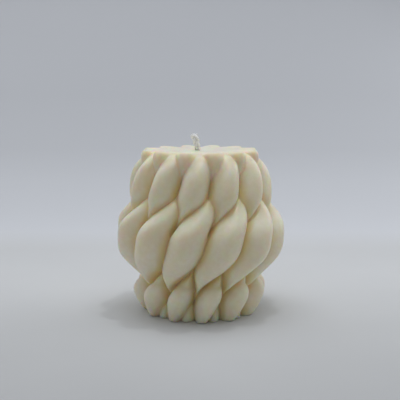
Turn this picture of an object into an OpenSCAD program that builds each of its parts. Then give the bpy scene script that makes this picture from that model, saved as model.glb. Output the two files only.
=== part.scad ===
// Soy wax pillar candle. The wax is one casting, shaped as a ring of upright ropes of two strands
// each, so its outside shows tiers of leaning petals. A plaited cotton wick runs through it.
// Millimetres, +Z up, origin at the centre of the base. The front faces -Y.

/* [Wax casting] */
// Height of the wax from the base to the top face
wax_h = 87.5; // [83:0.5:92]
// Number of ropes in the ring
ropes = 12; // [11:1:13]
// Height of the middle tier of petals, at their centre
mid_z = 41.5; // [40:0.5:43]
// Height from the middle tier of petals to the next
tier_h = 34; // [32:0.5:36]
// How much the tiers close up away from the middle one
tier_close = 0.18; // [0.1:0.01:0.2]
// How much more the tiers close up above the middle one than below it
tier_skew = 0.06; // [0:0.01:0.1]
// Radius of the rounded rim round the top face
rim_r = 1.5; // [1:0.25:3]

/* [Ropes] */
// Radius of the ring of ropes 30 mm below the middle tier
ring_low = 24.2; // [22:0.1:26]
// Radius of the ring of ropes at the middle tier
ring_mid = 25.8; // [25:0.1:28]
// Radius of the ring of ropes 30 mm above the middle tier
ring_high = 22.9; // [22:0.1:26]
// How far a strand swings in and out at the foot
swing_low = 2.5; // [1.5:0.1:4]
// How far a strand swings in and out at the middle tier
swing_mid = 8.3; // [6:0.1:9]
// How far a strand swings in and out at the top
swing_high = 2.9; // [1.5:0.1:4]
// Height from the middle tier over which the swing dies down
swing_span = 21; // [16:0.5:28]
// Sideways sway of a strand 30 mm below the middle tier, in degrees round the candle
sway_low = 7.3; // [5:0.1:9]
// Sideways sway of a strand at the middle tier, in degrees round the candle
sway_mid = 8.7; // [7:0.1:10]
// Sideways sway of a strand 30 mm above the middle tier, in degrees round the candle
sway_high = 7.8; // [6:0.1:10]
// How much the sway is sharpened, in degrees round the candle
sway_sharp = 1.4; // [0:0.1:2]
// Radius of a strand 30 mm below the middle tier
strand_low = 8.8; // [8:0.1:10]
// Radius of a strand at the middle tier
strand_mid = 11.5; // [10:0.1:12.5]
// Radius of a strand 30 mm above the middle tier
strand_high = 10.9; // [9:0.1:12]
// Width of a strand as a share of its thickness
strand_flat = 0.66; // [0.6:0.01:0.9]
// How full a strand's crown is: 0.5 is an ellipse, and more is slimmer
strand_crown = 0.82; // [0.5:0.01:1]

/* [Lean of the ropes] */
// Turn of the ropes about the candle at the middle tier, in degrees for each millimetre up
lean = 0.47; // [0.3:0.01:0.6]
// Height from the middle tier at which the ropes stop leaning
lean_end = 28.5; // [26:0.5:40]
// Backward turn at 10 mm above or below the middle tier, in degrees
lean_back = 0.34; // [0:0.01:0.4]
// Where the front rope stands, in degrees round from the front
front_at = -10.6; // [-15:0.1:15]

/* [Wick] */
// Height of the wick's tip above the top face
wick_free = 8.4; // [6:0.2:14]
// How far the tip leans to the left of the wick's foot
wick_lean = 1.8; // [0:0.2:4]
// Distance of the wick from the candle's axis, to the left
wick_off = 1.25; // [0:0.25:3]
// Radius of one strand of the plait inside the wax
yarn_r = 0.44; // [0.3:0.02:0.44]
// Reach of a strand to either side of the plait's middle line
plait_w = 0.95; // [0.95:0.01:1.05]
// Reach of a strand to the front and back of the plait
plait_t = 0.6; // [0.6:0.01:0.7]
// Length along the wick in which a strand comes back to the same side
plait_pitch = 9; // [9:0.5:14]
// How much wider the plait and its strands swell at the cut tip
tip_open = 1.5; // [1:0.05:1.6]
// Gap between the plait and the wall of its channel
channel_gap = 0.06; // [0.03:0.01:0.2]
// Depth of the wick's lower end inside the base
wick_recess = 1; // [0.5:0.1:2]

/* [Hidden] */
wax_colour = [0.91, 0.87, 0.75];
cotton_colour = [0.94, 0.94, 0.93];
step_deg = 360 / ropes;
// samples across one rope, and rings up the candle
across = 14;
rings = 30;
channel_r = plait_w + yarn_r + channel_gap;

// a smooth value through the low, middle and high ones, at height d from the middle tier
function three(lo, mi, hi, d) = mi + (hi - lo) * d / 60 + (hi + lo - 2 * mi) * d * d / 1800;

// how far round a rope has turned, and how far a strand is in its twist, at height d
function turn(d) = front_at + lean * d * (1 - d * d / (3 * lean_end * lean_end)) - lean_back * d * d / 100;
function twist(d) = let (x = d / tier_h) 180 * x * (1 + tier_skew * x + tier_close * x * x);

// how far a strand swings in and out at height d: most at the middle tier, and little at the ends
function swing(d) =
    let (e = swing_low + (swing_high - swing_low) * max(0, min(1, (d + 40) / 80)))
    e + (swing_mid - e) * exp(-pow(d / swing_span, 2));

// one strand's middle line: angle round the candle, and radius
function mid_ang(j, d) = let (p = twist(d) + 180 * j)
    turn(d) + three(sway_low, sway_mid, sway_high, d) * sin(p) - sway_sharp * sin(2 * p);
function mid_rad(j, d) = let (p = twist(d) + 180 * j)
    three(ring_low, ring_mid, ring_high, d) + swing(d) * cos(p);

// level section of a leaning strand: [angle, radius, half width, half depth, slope]
function section(j, d) =
    let (e = 0.05,
         r = mid_rad(j, d),
         s = three(strand_low, strand_mid, strand_high, d),
         vt = (mid_ang(j, d + e) - mid_ang(j, d - e)) / (2 * e) * PI / 180 * r / strand_flat,
         vr = (mid_rad(j, d + e) - mid_rad(j, d - e)) / (2 * e),
         n = 1 + vt * vt + vr * vr,
         q11 = 1 - vt * vt / n,
         q22 = 1 - vr * vr / n,
         q12 = -vt * vr / n)
    [mid_ang(j, d), r, s * sqrt(q22 / (q11 * q22 - q12 * q12)), s / sqrt(q22), -q12 / q22];

// how far out a strand's section reaches at a degrees from its middle line
function reach(sec, a) =
    let (t = sec[1] * a * PI / 180 / strand_flat, w = t / sec[2])
    abs(w) >= 1 ? 0 : sec[1] + sec[4] * t + sec[3] * pow(1 - w * w, strand_crown);

// the wax surface at one height: the furthest of the strands near that angle
function skin(secs, ang, d) = max([
    three(ring_low, ring_mid, ring_high, d) * 0.7,
    for (sec = secs, k = [-3:3])
        let (a0 = ang - sec[0], a = a0 - step_deg * round(a0 / step_deg) + step_deg * k)
        reach(sec, a)]);

// the columns of the surface follow the strand that is in front, tier after tier
function column(d) = let (p = twist(d), k = floor((p + 90) / 180))
    turn(d) + three(sway_low, sway_mid, sway_high, d) * (2 * k + sin(p - 180 * k));

// rings up the candle, closer together round the rim
ring_z = concat([for (i = [0:rings]) (wax_h - rim_r) * i / rings], [for (a = [30:30:90]) wax_h - rim_r + rim_r * sin(a)]);
function rim_in(z) = z <= wax_h - rim_r ? 0 : rim_r - sqrt(max(0, rim_r * rim_r - pow(z - wax_h + rim_r, 2)));

module wax_skin() {
    n = ropes * across;
    m = len(ring_z);
    pts = [for (z = ring_z)
        let (d = z - mid_z, secs = [section(0, d), section(1, d)], cut = rim_in(z), a0 = column(d))
        for (k = [0:n - 1]) let (a = a0 + 360 * k / n, r = skin(secs, a, d) - cut)
            [r * sin(a), -r * cos(a), z]];
    faces = concat(
        [[for (k = [0:n - 1]) k]],
        [[for (k = [n - 1:-1:0]) (m - 1) * n + k]],
        [for (i = [0:m - 2], k = [0:n - 1]) let (k2 = (k + 1) % n)
            [i * n + k, (i + 1) * n + k, (i + 1) * n + k2]],
        [for (i = [0:m - 2], k = [0:n - 1]) let (k2 = (k + 1) % n)
            [i * n + k, (i + 1) * n + k2, i * n + k2]]);
    polyhedron(pts, faces, convexity = 10);
}

module wax_body() {
    color(wax_colour)
    difference() {
        wax_skin();
        translate([-wick_off, 0, -1]) cylinder(r = channel_r, h = wax_h + 2, $fn = 48);
    }
}

// the wick's middle line: straight up its channel, then leaning to the left
wick_len = wax_h + wick_free - wick_recess;
wick_rings = 108;
function up_at(z) = max(0, z - wax_h) / wick_free;
function lean_at(z) = wick_lean * pow(up_at(z), 1.4);
function open_at(z) = 1 + (tip_open - 1) * pow(up_at(z), 1.2);
function yarn_mid(i, z) =
    let (p = 360 * z / plait_pitch + 120 * i, o = open_at(z))
    [-wick_off - lean_at(z) + o * plait_w * sin(p), o * plait_t * sin(2 * p), z];
function unit(v) = v / norm(v);

module wick_strand(i) {
    sides = 8;
    zs = [for (k = [0:wick_rings]) wick_recess + wick_len * k / wick_rings];
    pts = [for (z = zs)
        let (c = yarn_mid(i, z),
             t = unit(yarn_mid(i, z + 0.05) - yarn_mid(i, z - 0.05)),
             u = unit(cross([0, 1, 0], t)),
             v = cross(t, u),
             flat = z <= wick_recess || z >= wick_recess + wick_len - 0.001)
        for (k = [0:sides - 1])
            let (a = 360 * k / sides, p = c + open_at(z) * yarn_r * (cos(a) * u + sin(a) * v))
            flat ? [p[0], p[1], z] : p];
    faces = concat(
        [[for (k = [0:sides - 1]) k]],
        [[for (k = [sides - 1:-1:0]) wick_rings * sides + k]],
        [for (r = [0:wick_rings - 1], k = [0:sides - 1]) let (k2 = (k + 1) % sides)
            [r * sides + k, (r + 1) * sides + k, (r + 1) * sides + k2]],
        [for (r = [0:wick_rings - 1], k = [0:sides - 1]) let (k2 = (k + 1) % sides)
            [r * sides + k, (r + 1) * sides + k2, r * sides + k2]]);
    color(cotton_colour) polyhedron(pts, faces, convexity = 10);
}

module wick_strand_a() { wick_strand(0); }
module wick_strand_b() { wick_strand(1); }
module wick_strand_c() { wick_strand(2); }

wax_body();
wick_strand_a();
wick_strand_b();
wick_strand_c();
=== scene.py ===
import math

import bpy
import numpy as np
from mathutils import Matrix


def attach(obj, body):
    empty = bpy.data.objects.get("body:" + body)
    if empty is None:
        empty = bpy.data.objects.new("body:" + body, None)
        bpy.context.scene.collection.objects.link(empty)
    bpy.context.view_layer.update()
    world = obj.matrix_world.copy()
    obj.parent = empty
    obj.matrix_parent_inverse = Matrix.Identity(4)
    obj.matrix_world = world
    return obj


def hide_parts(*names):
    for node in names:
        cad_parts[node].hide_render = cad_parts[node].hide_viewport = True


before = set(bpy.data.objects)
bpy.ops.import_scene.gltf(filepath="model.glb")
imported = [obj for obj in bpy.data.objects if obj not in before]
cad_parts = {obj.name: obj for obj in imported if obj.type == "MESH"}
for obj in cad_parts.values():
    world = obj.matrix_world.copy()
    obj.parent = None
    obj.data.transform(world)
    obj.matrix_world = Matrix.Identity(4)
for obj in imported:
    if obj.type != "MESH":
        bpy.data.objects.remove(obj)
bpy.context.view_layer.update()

MM = 0.001
scene = bpy.context.scene
scene.view_settings.view_transform = "Standard"
scene.view_settings.look = "None"
scene.view_settings.exposure = 0.0
scene.view_settings.gamma = 1.0

# ---------------------------------------------------------------- camera, at the photograph's viewing angle
cam_data = bpy.data.cameras.new("camera")
cam_data.sensor_width = 36.0
cam_data.lens = 68.7
cam_data.clip_start = 0.01
cam_data.clip_end = 20.0
cam = bpy.data.objects.new("camera", cam_data)
cam.location = (0.0, -0.408, 0.1171)
cam.rotation_euler = (math.radians(90.0 - 8.0), 0.0, 0.0)
scene.collection.objects.link(cam)
scene.camera = cam


# ---------------------------------------------------------------- small helpers
def make_object(name, verts, faces, smooth=True):
    me = bpy.data.meshes.new(name)
    me.from_pydata([tuple(v) for v in verts], [], [tuple(f) for f in faces])
    me.update()
    if smooth:
        me.polygons.foreach_set("use_smooth", [True] * len(me.polygons))
    ob = bpy.data.objects.new(name, me)
    scene.collection.objects.link(ob)
    return ob


def float_attribute(ob, name, values):
    a = ob.data.attributes.new(name, "FLOAT", "POINT")
    a.data.foreach_set("value", np.asarray(values, np.float32).ravel())


class Nodes:
    """A short way to write a material's node tree."""

    def __init__(self, name):
        self.mat = bpy.data.materials.new(name)
        self.mat.use_nodes = True
        self.tree = self.mat.node_tree
        self.tree.nodes.clear()

    def add(self, kind, **values):
        n = self.tree.nodes.new(kind)
        for key, v in values.items():
            setattr(n, key, v)
        return n

    def put(self, node, **inputs):
        for key, v in inputs.items():
            socket = node.inputs[key.replace("_", " ")]
            if hasattr(v, "is_linked"):
                self.tree.links.new(v, socket)
            else:
                socket.default_value = v
        return node

    def link(self, a, b):
        self.tree.links.new(a, b)

    def noise(self, where, scale, detail=2.0, rough=0.5):
        n = self.add("ShaderNodeTexNoise")
        self.link(where, n.inputs["Vector"])
        n.inputs["Scale"].default_value = scale
        n.inputs["Detail"].default_value = detail
        n.inputs["Roughness"].default_value = rough
        return n.outputs["Fac"]

    def math(self, op, a, b=0.0, clamp=False):
        n = self.add("ShaderNodeMath", operation=op, use_clamp=clamp)
        for i, v in enumerate((a, b)):
            if hasattr(v, "is_linked"):
                self.link(v, n.inputs[i])
            else:
                n.inputs[i].default_value = v
        return n.outputs[0]

    def remap(self, v, a, b, c, d):
        n = self.add("ShaderNodeMapRange")
        self.link(v, n.inputs["Value"])
        for key, x in zip(("From Min", "From Max", "To Min", "To Max"), (a, b, c, d)):
            n.inputs[key].default_value = x
        return n.outputs[0]

    def mix(self, fac, a, b, blend="MIX"):
        n = self.add("ShaderNodeMix", data_type="RGBA", blend_type=blend)
        for key, v in ((0, fac), (6, a), (7, b)):
            if hasattr(v, "is_linked"):
                self.link(v, n.inputs[key])
            else:
                n.inputs[key].default_value = v if key == 0 else (*v, 1.0)
        return n.outputs[2]

    def attribute(self, name):
        return self.add("ShaderNodeAttribute", attribute_name=name).outputs["Fac"]


# ---------------------------------------------------------------- the wax casting's shape, in millimetres
WAX_H = 87.5
ROPES = 12
MID_Z = 41.5
TIER_H, TIER_CLOSE, TIER_SKEW = 34.0, 0.18, 0.06
RING = (24.2, 25.8, 22.9)
SWING, SWING_SPAN = (2.5, 8.3, 2.9), 21.0
SWAY, SWAY_SHARP = (7.3, 8.7, 7.8), 1.4
STRAND, FLAT, CROWN = (8.8, 11.5, 10.9), 0.66, 0.82
LEAN, LEAN_END, LEAN_BACK, FRONT_AT = 0.47, 28.5, 0.34, -10.6
STEP = 360.0 / ROPES
DIP_H, DIP_R = 1.2, 25.0
WICK_FREE, WICK_LEAN, WICK_OFF = 8.4, 2.1, 1.25
PLAIT_W, PLAIT_T, PLAIT_PITCH, TIP_OPEN = 0.95, 0.6, 9.0, 1.5
CHANNEL_R, WICK_RECESS = 1.45, 1.0
WICK_Z = WAX_H - DIP_H * (1 - CHANNEL_R / DIP_R)

RIM_R = 1.6        # round of the rim
RIM_H = 3.2        # height over which the rim rounds over
FOOT_R = 0.7       # round of the base edge
EDGE = 0.94        # where a strand's side turns into a steep flank
FILLET = 0.3      # how softly the creases are filled
GROOVE, GROOVE_SPAN = 3.0, 6.0    # how far two petals of one tier round down to the groove between them
ROUND, ROUND_SPAN = 0.5, 1.2      # round of the edge that lies over
FLANK = 3.0                       # how steeply that edge falls away


def three(v, d):
    return v[1] + (v[2] - v[0]) * d / 60 + (v[2] + v[0] - 2 * v[1]) * d * d / 1800


def turn(d):
    return FRONT_AT + LEAN * d * (1 - d * d / (3 * LEAN_END**2)) - LEAN_BACK * d * d / 100


def twist(d):
    x = d / TIER_H
    return 180 * x * (1 + TIER_SKEW * x + TIER_CLOSE * x * x)


def swing(d):
    e = SWING[0] + (SWING[2] - SWING[0]) * np.clip((d + 40) / 80, 0, 1)
    return e + (SWING[1] - e) * np.exp(-((d / SWING_SPAN) ** 2))


def mid_ang(j, d):
    p = np.radians(twist(d) + 180 * j)
    return turn(d) + three(SWAY, d) * np.sin(p) - SWAY_SHARP * np.sin(2 * p)


def mid_rad(j, d):
    p = np.radians(twist(d) + 180 * j)
    return three(RING, d) + swing(d) * np.cos(p)


def section(j, d):
    e = 0.05
    r, s = mid_rad(j, d), three(STRAND, d)
    vt = np.radians(mid_ang(j, d + e) - mid_ang(j, d - e)) / (2 * e) * r / FLAT
    vr = (mid_rad(j, d + e) - mid_rad(j, d - e)) / (2 * e)
    n = 1 + vt * vt + vr * vr
    q11, q22, q12 = 1 - vt * vt / n, 1 - vr * vr / n, -vt * vr / n
    return mid_ang(j, d), r, s * np.sqrt(q22 / (q11 * q22 - q12 * q12)), s / np.sqrt(q22), -q12 / q22


def crown(w):
    a = np.abs(w)
    slope = 2 * CROWN * EDGE * (1 - EDGE**2) ** (CROWN - 1)
    return (1 - np.minimum(a, EDGE) ** 2) ** CROWN - slope * np.maximum(a - EDGE, 0)


def bulge(u):
    """A quarter round: 1 at a petal's edge, and 0 from u = 1 inwards."""
    return 1 - np.sqrt(1 - (1 - np.clip(u, 0, 1)) ** 2)


def lip(d):
    """Beside a petal that lies over it, a petal keeps a gap and then rounds up: gap, depth and width at height d."""
    at = [-40, -32, -26, -14, 6, 20, 30, 45]
    gap = np.interp(d, at, [0.3, 0.6, 2.0, 2.0, 0.3, 0.3, 0.2, 0.1])
    deep = np.interp(d, at, [1.5, 2.5, 4.2, 4.2, 3.2, 2.8, 1.4, 0.7])
    wide = np.interp(d, at, [3.0, 3.0, 4.5, 4.5, 8.0, 7.0, 5.0, 4.0])
    return gap[:, None], deep[:, None], wide[:, None]


def reach_over(d):
    """How much further the petal that lies over reaches, at height d."""
    return np.interp(d, [-40, -34, -30, -24, -18, -10, 0, 6, 19, 23, 27, 31, 40], [-1.4, -0.8, -1.1, -0.7, -0.1, 0.1, 0.2, 0.5, 0.4, -1.2, -1.2, 0.1, -0.3])[:, None]


def heights(ang, d):
    """How far out each strand's neighbours reach at the angles ang[row, column] and the heights d[row]."""
    high = []
    for j in (0, 1):
        mid, r, half, deep, tilt = (x[:, None] for x in section(j, d))
        a0 = ang - mid
        a0 = a0 - STEP * np.round(a0 / STEP)
        rows = []
        for k in (-2, -1, 0, 1, 2):
            t = r * np.radians(a0 + STEP * k) / FLAT
            rows.append(r + tilt * t + deep * crown(t / half))
        high.append(np.stack(rows))
    return high


def skin(ang, d):
    """Radius of the wax at the angles ang[row, column] and the heights d[row] from the middle tier."""
    high = heights(ang, d)
    best = [np.sort(h, axis=0)[-2:] for h in high]
    # signed distance from the crease between the two strands, along the surface
    lead = lambda h: h[1].max(0) - h[0].max(0)
    gap = best[1][1] - best[0][1]
    rise = (lead(heights(ang, d + 0.1)) - gap) / 0.1
    run = (lead(heights(ang + 0.1, d)) - gap) / (np.radians(0.1) * np.maximum(best[0][1], best[1][1]))
    inside = gap / np.sqrt(rise**2 + run**2 + 0.05)
    # the strand nearer its own middle tier lies over the other
    w = np.clip((210 - np.abs(twist(d))) / 60, 0, 1)[:, None]
    over = (w * w * (3 - 2 * w), 1 - w * w * (3 - 2 * w))
    apart, deep, wide = lip(d)
    groove = np.interp(d, [-40, -22, -12], [4.0, 4.5, GROOVE])[:, None]
    # the petals of the lower tier round over to their tops
    tops = np.clip((d + 31) / 8.5, 0, 1) * (d < 0)
    tops = (5.0 * (1 - (1 - tops * tops) ** 0.75))[:, None]
    # the petals of the middle tier draw back from each other's grooves, above their middles
    beside = np.clip(1 - (best[0][1] - best[0][0]) / 10, 0, 1) ** 2
    over_by = reach_over(d) - 8.5 * beside * np.clip((d - 1) / 6, 0, 1)[:, None] * (d < 27)[:, None]
    near = [np.broadcast_to((0.7 * three(RING, d))[:, None], ang.shape)]
    for j in (0, 1):
        own = (2 * j - 1) * inside + over_by * (2 * over[j] - 1)
        above = ROUND * bulge(own / ROUND_SPAN) + FLANK * np.maximum(-own, 0)
        under = deep * bulge((own - apart) / wide) + FLANK * np.maximum(-own, 0)
        for h in high[j]:
            same = h - np.where(h >= best[j][1] - 1e-9, best[j][0], best[j][1])
            near.append(h - groove * bulge(same / GROOVE_SPAN) - over[j] * above - (1 - over[j]) * under - j * tops)
    near = np.stack(near)
    top = near.max(0)
    return top + FILLET * np.log(np.exp((near - top) / FILLET).sum(0))


def column(d):
    p = twist(d)
    k = np.floor((p + 90) / 180)
    return turn(d) + three(SWAY, d) * (2 * k + np.sin(np.radians(p - 180 * k)))


def soft(v, sigma, axis, wrap):
    """v smoothed along one axis with a bell of that many samples."""
    n = int(3 * sigma)
    w = np.exp(-0.5 * (np.arange(-n, n + 1) / sigma) ** 2)
    w /= w.sum()
    pad = [(0, 0), (0, 0)]
    pad[axis] = (n, n)
    q = np.pad(v, pad, mode="wrap" if wrap else "edge")
    return np.apply_along_axis(lambda x: np.convolve(x, w, mode="valid"), axis, q)


def waves(x, y, z, seed, count, size):
    """A smooth random field of about unit height, with waves near that size."""
    rng = np.random.default_rng(seed)
    out = np.zeros_like(x)
    for _ in range(count):
        v = rng.normal(size=3)
        v *= 2 * math.pi / (size * rng.uniform(0.7, 1.5)) / np.linalg.norm(v)
        out = out + np.sin(v[0] * x + v[1] * y + v[2] * z + rng.uniform(0, 2 * math.pi))
    return out / math.sqrt(count / 2)


def build_wax():
    n = ROPES * 42
    foot = [FOOT_R * (1 - math.cos(math.radians(a))) for a in (0, 30, 60)]
    foot_in = [FOOT_R * (1 - math.sin(math.radians(a))) for a in (0, 30, 60)]
    side = np.linspace(FOOT_R, WAX_H - RIM_H, 161)
    arc = [10, 20, 30, 40, 50, 60, 70, 80, 90]
    rim = [WAX_H - RIM_H + RIM_H * math.sin(math.radians(a)) for a in arc]
    rim_in = [RIM_R * (1 - math.cos(math.radians(a))) for a in arc]
    z = np.concatenate([foot, side, rim])
    cut = np.concatenate([foot_in, np.zeros(len(side)), rim_in])
    d = z - MID_Z
    ang = column(d)[:, None] + 360.0 * np.arange(n)[None, :] / n
    full = skin(ang, d)
    # molten wax leaves no edge quite sharp
    full = soft(soft(full, 0.9, 1, True), 0.9, 0, False)
    even = soft(soft(full, 5.0, 1, True), 5.0, 0, False)
    wide = soft(soft(full, 9.0, 1, True), 9.0, 0, False)
    # painted shade: the wax is tinted amber where the surface lies below its smoothed self, in creases and hollows
    painted_crease_shade = np.clip((wide - full) / 3.2, 0, 1)
    # painted highlight: a paler colour along the petals' raised edges
    painted_light = np.clip((full - even) / 0.9, 0, 1)
    # painted glow: under the rim part of the painted crease shade turns into painted light, as if light shone through
    # the thin wax
    glow = np.clip((d - 28) / 7, 0, 1)[:, None]
    painted_light = np.maximum(painted_light, 1.2 * glow * np.clip(2 * painted_crease_shade, 0, 1))
    painted_crease_shade = painted_crease_shade * (1 - 0.6 * glow)
    r = full - cut[:, None]
    th = np.radians(ang)
    x, y, zz = r * np.sin(th), -r * np.cos(th), np.repeat(z[:, None], n, 1)
    # the casting is never quite even
    r = r - 0.08 + 0.04 * waves(x, y, zz, 3, 14, 17.0)
    # the rim sinks a little where two lobes meet
    lobe = full[-1]
    sink = np.clip(0.42 * (soft(np.array([[lobe[i:i + n // 24].max() for i in range(0, n)]]), 6.0, 1, True)[0] - lobe), 0, 1.0)
    sink = soft(np.stack([sink]), 1.5, 1, True)[0]
    top_rows = np.clip((z - (WAX_H - 4.0)) / 4.0, 0, 1) ** 2
    x, y = r * np.sin(th), -r * np.cos(th)
    zz = zz - top_rows[:, None] * sink[None, :]
    verts = np.stack([x, y, zz], -1).reshape(-1, 3)
    painted_shade_parts, painted_light_parts = [painted_crease_shade.ravel()], [painted_light.ravel()]
    m = len(z)
    faces, uvs = [], []

    def quad(a, b, uv_a, uv_b):
        """Quads between two rings of equal length, with their places on the texture."""
        k = len(a)
        for i in range(k):
            i2 = (i + 1) % k
            faces.append((a[i], a[i2], b[i2], b[i]))
            uvs.extend((uv_a(i), uv_a(i + 1), uv_b(i + 1), uv_b(i)))

    run = np.concatenate([[0], np.cumsum(np.hypot(np.diff(z), np.diff(cut)))])
    run = 0.005 + 0.54 * run / run[-1]
    for i in range(m - 1):
        quad(range(i * n, i * n + n), range(i * n + n, i * n + 2 * n),
             lambda k, v=run[i]: (k / n, v), lambda k, v=run[i + 1]: (k / n, v))

    verts = [verts]
    total = m * n

    def face_rings(first, level, upward, centre_uv):
        """Closes one end from its outline in to the wick's channel, halving the columns on the way."""
        nonlocal total
        ring = list(first)
        out = np.concatenate(verts)[first]
        mid = np.array([-WICK_OFF, 0.0])
        rad = np.hypot(*(out[:, :2] - mid).T)
        steps = [0.965, 0.93, 0.89, -0.84, 0.78, 0.7, -0.62, 0.53, 0.44, 0.35, -0.26, 0.18, 0.12, 0.08, 0.055, 0.0]
        to_uv = lambda q: (centre_uv[0] + q[0] / 42 * 0.215, centre_uv[1] + q[1] / 42 * 0.215)
        cols = np.arange(n)
        here = out.copy()
        for f in steps:
            g = abs(f)
            halve = f < 0
            new_cols = cols[::2] if halve else cols
            edge = out[new_cols]
            way = edge[:, :2] - mid
            way = way / np.linalg.norm(way, axis=1)[:, None]
            reach = CHANNEL_R + (rad[new_cols] - CHANNEL_R) * g
            xy = mid + way * reach[:, None]
            if upward:
                gone = rad[new_cols] - reach
                h = WAX_H - sink[new_cols] * np.exp(-gone / 3.0)
                h = h - DIP_H * 0.06 * np.log1p(np.exp((1 - reach / DIP_R) / 0.06))
                h = h + 0.35 * np.exp(-(reach - CHANNEL_R) / 0.5)
                h = h + 0.03 * waves(xy[:, 0], xy[:, 1], h * 0, 8, 10, 12.0) * np.clip(gone / 3, 0, 1)
            else:
                h = np.zeros(len(new_cols))
            new = np.column_stack([xy, h])
            verts.append(new)
            # painted light: the top face is painted paler, the base is not; neither gets painted crease shade
            painted_shade_parts.append(np.zeros(len(new)))
            painted_light_parts.append(np.full(len(new), 0.9 if upward else 0.0))
            ids = list(range(total, total + len(new)))
            total += len(new)
            k = len(ids)
            for i in range(k):
                i2 = (i + 1) % k
                if halve:
                    a, b, c = ring[2 * i], ring[2 * i + 1], ring[(2 * i + 2) % (2 * k)]
                    pa, pb, pc = here[2 * i], here[2 * i + 1], here[(2 * i + 2) % (2 * k)]
                    tris = [((a, b, ids[i]), (pa, pb, new[i])), ((b, ids[i2], ids[i]), (pb, new[i2], new[i])), ((b, c, ids[i2]), (pb, pc, new[i2]))]
                else:
                    tris = [((ring[i], ring[i2], ids[i2], ids[i]), (here[i], here[i2], new[i2], new[i]))]
                for f_ids, f_pts in tris:
                    if not upward:
                        f_ids, f_pts = f_ids[::-1], f_pts[::-1]
                    faces.append(f_ids)
                    uvs.extend(to_uv(p) for p in f_pts)
            ring, here, cols = ids, new, new_cols
        return ring, here

    top_ring, top_pts = face_rings(np.arange((m - 1) * n, m * n), WAX_H, True, (0.22, 0.775))
    base_ring, base_pts = face_rings(np.arange(n), 0.0, False, (0.67, 0.775))
    # the channel that the wick runs in
    k = len(top_ring)
    turn_by = int(np.argmin(np.hypot(*(base_pts[:, :2] - top_pts[0, :2]).T)))
    base_ring = base_ring[turn_by:] + base_ring[:turn_by]
    base_pts = np.roll(base_pts, -turn_by, axis=0)
    ring, last_v = top_ring, 0.995
    levels = 24
    for step in range(1, levels + 1):
        g = step / levels
        if step < levels:
            new = top_pts * (1 - g) + base_pts * g
            way = new[:, :2] - np.array([-WICK_OFF, 0.0])
            new[:, :2] = np.array([-WICK_OFF, 0.0]) + way * (CHANNEL_R / np.linalg.norm(way, axis=1))[:, None]
            verts.append(new)
            # painted shade: the wick's channel gets some of the amber crease shade
            painted_shade_parts.append(np.full(k, 0.3))
            painted_light_parts.append(np.zeros(k))
            ids = list(range(total, total + k))
            total += k
        else:
            ids = base_ring
        v = 0.995 - 0.43 * g
        quad(ring, ids, lambda i, v=last_v: (0.9 + 0.09 * i / k, v), lambda i, v=v: (0.9 + 0.09 * i / k, v))
        ring, last_v = ids, v

    ob = make_object("wax_casting", np.concatenate(verts) * MM, faces)
    float_attribute(ob, "painted_crease_shade", np.concatenate(painted_shade_parts))
    float_attribute(ob, "painted_light", np.concatenate(painted_light_parts))
    layer = ob.data.uv_layers.new(name="OFBake")
    layer.uv.foreach_set("vector", np.asarray(uvs, np.float32).ravel())
    return ob


# ---------------------------------------------------------------- the plaited wick
def up_at(z):
    return np.maximum(z - WICK_Z, 0) / (WAX_H + WICK_FREE - WICK_Z)


def lean_at(z):
    return WICK_LEAN * up_at(z) ** 1.4


def open_at(z):
    return 1 + (TIP_OPEN - 1) * up_at(z) ** 1.2


def strand_mid(i, z):
    p = np.radians(360 * z / PLAIT_PITCH + 120 * i)
    o = open_at(z)
    return np.column_stack([-WICK_OFF - lean_at(z) + o * PLAIT_W * np.sin(p), o * PLAIT_T * np.sin(2 * p), z])


def frames(path):
    """A direction along a path and two across it, at each of its points."""
    t = np.gradient(path, axis=0)
    t /= np.linalg.norm(t, axis=1)[:, None]
    u = np.cross(np.array([0.0, 1.0, 0.0]), t)
    u /= np.linalg.norm(u, axis=1)[:, None]
    return t, u, np.cross(t, u)


class Tubes:
    """Gathers closed tubes into one mesh."""

    def __init__(self):
        self.verts, self.faces, self.soak = [], [], []
        self.total = 0

    def add(self, path, radius, sides, soak):
        t, u, v = frames(path)
        a = 2 * math.pi * np.arange(sides) / sides
        radius = np.asarray(radius)
        radius = radius if radius.ndim == 2 else radius[:, None]
        ring = path[:, None, :] + radius[:, :, None] * (np.cos(a)[None, :, None] * u[:, None, :] + np.sin(a)[None, :, None] * v[:, None, :])
        n = len(path)
        self.verts.append(ring.reshape(-1, 3))
        self.soak.append(np.repeat(soak, sides))
        at = lambda r, k: self.total + r * sides + k % sides
        for r in range(n - 1):
            for k in range(sides):
                self.faces.append((at(r, k), at(r, k + 1), at(r + 1, k + 1), at(r + 1, k)))
        self.faces.append(tuple(at(0, k) for k in reversed(range(sides))))
        self.faces.append(tuple(at(n - 1, k) for k in range(sides)))
        self.total += n * sides


def soak_at(z):
    s = np.clip((WICK_Z + 3.0 - z) / 1.8, 0, 1)
    return s * s * (3 - 2 * s)


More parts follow.
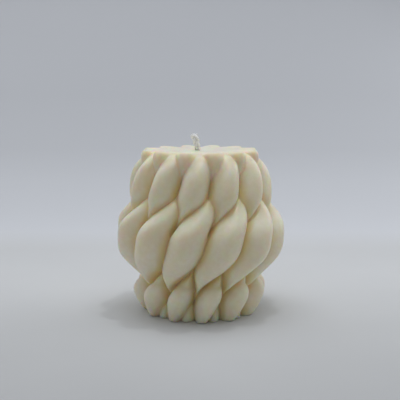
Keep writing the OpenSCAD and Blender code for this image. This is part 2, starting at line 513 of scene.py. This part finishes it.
def build_strand(i, name):
    """One strand of the plait: five plies twisted together, with cut fibres at the tip and fuzz along the free end."""
    rng = np.random.default_rng(40 + i)
    plies, sides, thick = 5, 30, 0.44
    tubes = Tubes()
    top = WAX_H + WICK_FREE
    end = top - 0.5 - 0.35 * rng.uniform()
    z = np.linspace(WICK_RECESS, end, 330)
    mid = strand_mid(i, z)
    mid[:, 2] = np.minimum(mid[:, 2], top - 0.4)
    t, u, v = frames(mid)
    swell = 1 + 0.42 * np.clip((z - WICK_Z - 0.4) / 3.0, 0, 1)
    size = thick * swell * open_at(z)
    size[-3:] *= (0.97, 0.85, 0.55)
    a = 2 * math.pi * np.arange(sides) / sides
    ply = np.abs(np.cos(plies / 2 * (a[None, :] + 2 * math.pi * z[:, None] / 4.2 + 0.3 * i)))
    lumps = 1 + 0.03 * np.sin(z[:, None] * 3.7 + 2 * a[None, :]) + 0.02 * np.sin(z[:, None] * 9.1 + a[None, :] * 3 + i)
    shape = size[:, None] * (0.87 + 0.13 * ply**0.6) * lumps
    tubes.add(mid, shape, sides, soak_at(z))
    around = lambda k, w: math.cos(w) * u[k] + math.sin(w) * v[k]
    for _ in range(110):
        k = len(z) - 1 - int(rng.integers(0, 9))
        off = around(k, rng.uniform(0, 2 * math.pi))
        start = mid[k] + off * size[k] * rng.uniform(0.1, 0.75)
        way = t[k] * rng.uniform(0.3, 1.0) + off * rng.uniform(0.0, 0.8) + rng.normal(size=3) * 0.3
        way /= np.linalg.norm(way)
        s = np.linspace(0, 1, 5)[:, None] * rng.uniform(0.3, 0.75)
        fibre = start + way * s + rng.normal(size=3) * 0.25 * s * s
        fibre[:, 2] = np.minimum(fibre[:, 2], top - 0.2)
        tubes.add(fibre, np.linspace(0.04, 0.018, 5), 4, np.zeros(5))
    for _ in range(260):
        k = int(np.searchsorted(z, rng.uniform(WICK_Z + 2.0, end - 0.2)))
        off = around(k, rng.uniform(0, 2 * math.pi))
        s = np.linspace(0, 1, 5)[:, None] * rng.uniform(0.2, 0.6)
        fibre = mid[k] + off * size[k] * 0.85 + (off * rng.uniform(0.2, 0.7) + t[k] * rng.uniform(-0.6, 1.0)) * s + rng.normal(size=3) * 0.3 * s * s
        fibre[:, 2] = np.minimum(fibre[:, 2], top - 0.2)
        tubes.add(fibre, np.linspace(0.03, 0.014, 5), 4, np.zeros(5))
    ob = make_object(name, np.concatenate(tubes.verts) * MM, tubes.faces)
    float_attribute(ob, "soak", np.concatenate(tubes.soak))
    return ob


# ---------------------------------------------------------------- materials
def wax_material():
    g = Nodes("soy_wax")
    where = g.add("ShaderNodeTexCoord").outputs["Object"]
    painted_crease_shade = g.attribute("painted_crease_shade")
    cloud = g.noise(where, 70.0, 3.0, 0.55)
    mottle = g.noise(where, 420.0, 3.0, 0.6)
    grain = g.noise(where, 2600.0, 2.0, 0.6)
    painted_light = g.attribute("painted_light")
    ivory = g.mix(g.remap(cloud, 0.3, 0.7, 0.0, 1.0), (0.802, 0.727, 0.512), (0.842, 0.773, 0.567))
    ivory = g.mix(g.remap(mottle, 0.42, 0.72, 0.0, 0.22), ivory, (0.92, 0.885, 0.75))
    # painted highlight: paler colour along raised edges, on the top face and under the rim
    ivory = g.mix(g.math("MULTIPLY", painted_light, g.remap(mottle, 0.3, 0.7, 0.35, 0.6)), ivory, (0.93, 0.90, 0.79))
    # painted shade: amber in creases, hollows and the wick's channel
    amber_shade = g.math("MULTIPLY", painted_crease_shade, g.remap(cloud, 0.3, 0.7, 0.75, 0.95))
    colour = g.mix(amber_shade, ivory, (0.87, 0.715, 0.365))
    bsdf = g.add("ShaderNodeBsdfPrincipled")
    g.put(bsdf, Base_Color=colour)
    bsdf.subsurface_method = "RANDOM_WALK"
    bsdf.inputs["Subsurface Weight"].default_value = 1.0
    bsdf.inputs["Subsurface Radius"].default_value = (1.0, 0.55, 0.2)
    bsdf.inputs["Subsurface Scale"].default_value = 0.0075
    bsdf.inputs["IOR"].default_value = 1.44
    bsdf.inputs["Specular IOR Level"].default_value = 0.5
    bsdf.inputs["Coat Weight"].default_value = 0.25
    bsdf.inputs["Coat Roughness"].default_value = 0.09
    rough = g.math("ADD", g.remap(mottle, 0.3, 0.7, 0.40, 0.50), g.remap(cloud, 0.3, 0.7, -0.03, 0.03))
    g.put(bsdf, Roughness=rough)
    height = g.math("ADD", g.math("MULTIPLY", mottle, 0.7), g.math("MULTIPLY", grain, 0.3))
    bump = g.add("ShaderNodeBump")
    bump.inputs["Strength"].default_value = 0.35
    bump.inputs["Distance"].default_value = 0.00012
    g.link(height, bump.inputs["Height"])
    g.link(bump.outputs["Normal"], bsdf.inputs["Normal"])
    out = g.add("ShaderNodeOutputMaterial")
    g.link(bsdf.outputs[0], out.inputs["Surface"])
    return g.mat


def cotton_material():
    g = Nodes("cotton")
    where = g.add("ShaderNodeTexCoord").outputs["Object"]
    soak = g.attribute("soak")
    blotch = g.noise(where, 900.0, 3.0, 0.6)
    fibre = g.noise(where, 6000.0, 3.0, 0.7)
    dry = g.mix(g.remap(blotch, 0.3, 0.7, 0.0, 1.0), (0.97, 0.975, 0.98), (0.985, 0.99, 0.995))
    dry = g.mix(g.remap(fibre, 0.35, 0.65, 0.0, 0.2), dry, (0.92, 0.925, 0.93))
    colour = g.mix(soak, dry, (0.92, 0.90, 0.85))
    bsdf = g.add("ShaderNodeBsdfPrincipled")
    g.put(bsdf, Base_Color=colour)
    g.put(bsdf, Roughness=g.remap(soak, 0.0, 1.0, 0.92, 0.42))
    bsdf.inputs["Sheen Weight"].default_value = 0.5
    bsdf.inputs["Sheen Roughness"].default_value = 0.35
    bsdf.inputs["Specular IOR Level"].default_value = 0.35
    bsdf.inputs["Subsurface Weight"].default_value = 0.0
    bsdf.inputs["Subsurface Radius"].default_value = (1.0, 0.95, 0.9)
    bsdf.inputs["Subsurface Scale"].default_value = 0.003
    bump = g.add("ShaderNodeBump")
    bump.inputs["Strength"].default_value = 0.3
    bump.inputs["Distance"].default_value = 0.00005
    g.link(fibre, bump.inputs["Height"])
    g.link(bump.outputs["Normal"], bsdf.inputs["Normal"])
    out = g.add("ShaderNodeOutputMaterial")
    g.link(bsdf.outputs[0], out.inputs["Surface"])
    return g.mat


def paper_material():
    g = Nodes("pale_paper")
    where = g.add("ShaderNodeTexCoord").outputs["Object"]
    cloud = g.noise(where, 9.0, 3.0, 0.5)
    tooth = g.noise(where, 700.0, 2.0, 0.6)
    far = g.add("ShaderNodeSeparateXYZ")
    g.link(where, far.inputs[0])
    wall = g.remap(far.outputs["Y"], 0.16, 0.21, 0.0, 1.0)
    floor = g.mix(g.remap(cloud, 0.3, 0.7, 0.0, 1.0), (0.763, 0.775, 0.790), (0.794, 0.806, 0.821))
    colour = g.mix(wall, floor, (0.769, 0.788, 0.831))
    # painted light and shade: palest where the floor runs into the wall, and painted greyer in front and up the wall
    shade = g.add("ShaderNodeValToRGB")
    g.link(g.remap(far.outputs["Y"], -0.2, 0.6, 0.0, 1.0), shade.inputs["Fac"])
    stops = shade.color_ramp.elements
    stops[0].position, stops[1].position = 0.09, 0.98
    grey = {0.09: 0.712, 0.18: 0.79, 0.31: 0.86, 0.44: 0.865, 0.50: 0.918, 0.56: 0.88, 0.65: 0.836, 0.725: 0.772, 0.84: 0.764, 0.98: 0.82}
    for at in list(grey)[1:-1]:
        stops.new(at)
    for stop, v in zip(stops, grey.values()):
        stop.color = (v, v, v, 1.0)
    colour = g.mix(1.0, colour, shade.outputs["Color"], "MULTIPLY")
    bsdf = g.add("ShaderNodeBsdfPrincipled")
    g.put(bsdf, Base_Color=colour)
    bsdf.inputs["Roughness"].default_value = 0.75
    bsdf.inputs["Specular IOR Level"].default_value = 0.25
    bump = g.add("ShaderNodeBump")
    bump.inputs["Strength"].default_value = 0.08
    bump.inputs["Distance"].default_value = 0.0002
    g.link(tooth, bump.inputs["Height"])
    g.link(bump.outputs["Normal"], bsdf.inputs["Normal"])
    out = g.add("ShaderNodeOutputMaterial")
    g.link(bsdf.outputs[0], out.inputs["Surface"])
    return g.mat


wax = build_wax()
wax.data.materials.append(wax_material())
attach(wax, "root")
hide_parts("wax_body")

cotton = cotton_material()
for i, letter in enumerate("abc"):
    strand = build_strand(i, "wick_plait_" + letter)
    strand.data.materials.append(cotton)
    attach(strand, "root")
    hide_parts("wick_strand_" + letter)

# ---------------------------------------------------------------- floor and backdrop, one pale sweep of paper
profile = [(y, 0.0) for y in np.linspace(-1.6, 0.12, 24)]
profile += [(0.12 + 0.6 * math.sin(a), 0.6 * (1 - math.cos(a))) for a in np.linspace(0, math.pi / 2, 49)[1:]]
profile += [(0.72, z) for z in np.linspace(0.6, 1.8, 8)[1:]]
across = np.linspace(-1.8, 1.8, 19)
verts = [(x, y, z) for y, z in profile for x in across]
k = len(across)
faces = [(r * k + c, r * k + c + 1, (r + 1) * k + c + 1, (r + 1) * k + c) for r in range(len(profile) - 1) for c in range(k - 1)]
sweep = make_object("paper_sweep", verts, faces)
sweep.data.materials.append(paper_material())


# ---------------------------------------------------------------- soft studio light
def area_light(name, place, aim, size, power, colour=(1.0, 1.0, 1.0)):
    data = bpy.data.lights.new(name, "AREA")
    data.shape = "RECTANGLE"
    data.size, data.size_y = size
    data.energy = power
    data.color = colour
    ob = bpy.data.objects.new(name, data)
    ob.location = place
    way = np.array(aim, float) - np.array(place, float)
    from mathutils import Vector
    ob.rotation_euler = Vector(way).to_track_quat("-Z", "Y").to_euler()
    ob.visible_camera = False
    scene.collection.objects.link(ob)
    return ob


LAMP = (0.955, 0.975, 1.0)
area_light("lamp_spot", (0.07, -0.02, 0.55), (0, 0, 0.05), (0.02, 0.02), 0.25, LAMP)
area_light("lamp_over", (0.0, 0.0, 0.7), (0, 0, 0.05), (0.6, 0.6), 1.94, LAMP)
area_light("lamp_over_front", (0.0, -0.45, 0.55), (0, 0, 0.04), (0.5, 0.3), 0.23, LAMP)
area_light("lamp_over_left", (-0.4, 0.4, 0.6), (0, 0, 0.04), (0.4, 0.4), 0.49, LAMP)
area_light("lamp_over_right", (0.4, 0.4, 0.6), (0, 0, 0.04), (0.4, 0.4), 0.17, LAMP)
area_light("lamp_left", (-0.65, 0.10, 0.35), (0, 0, 0.04), (0.5, 0.5), 0.52, LAMP)
area_light("lamp_right", (0.65, 0.10, 0.35), (0, 0, 0.04), (0.5, 0.5), 0.51, LAMP)
area_light("lamp_left_back", (-0.45, 0.36, 0.32), (0, 0, 0.04), (0.35, 0.35), 0.08, LAMP)
area_light("lamp_right_back", (0.45, 0.36, 0.32), (0, 0, 0.04), (0.35, 0.35), 0.40, LAMP)

world = bpy.data.worlds.new("pale_room")
world.use_nodes = True
world.node_tree.nodes["Background"].inputs["Color"].default_value = (*LAMP, 1.0)
world.node_tree.nodes["Background"].inputs["Strength"].default_value = 0.2
scene.world = world

bpy.context.view_layer.update()
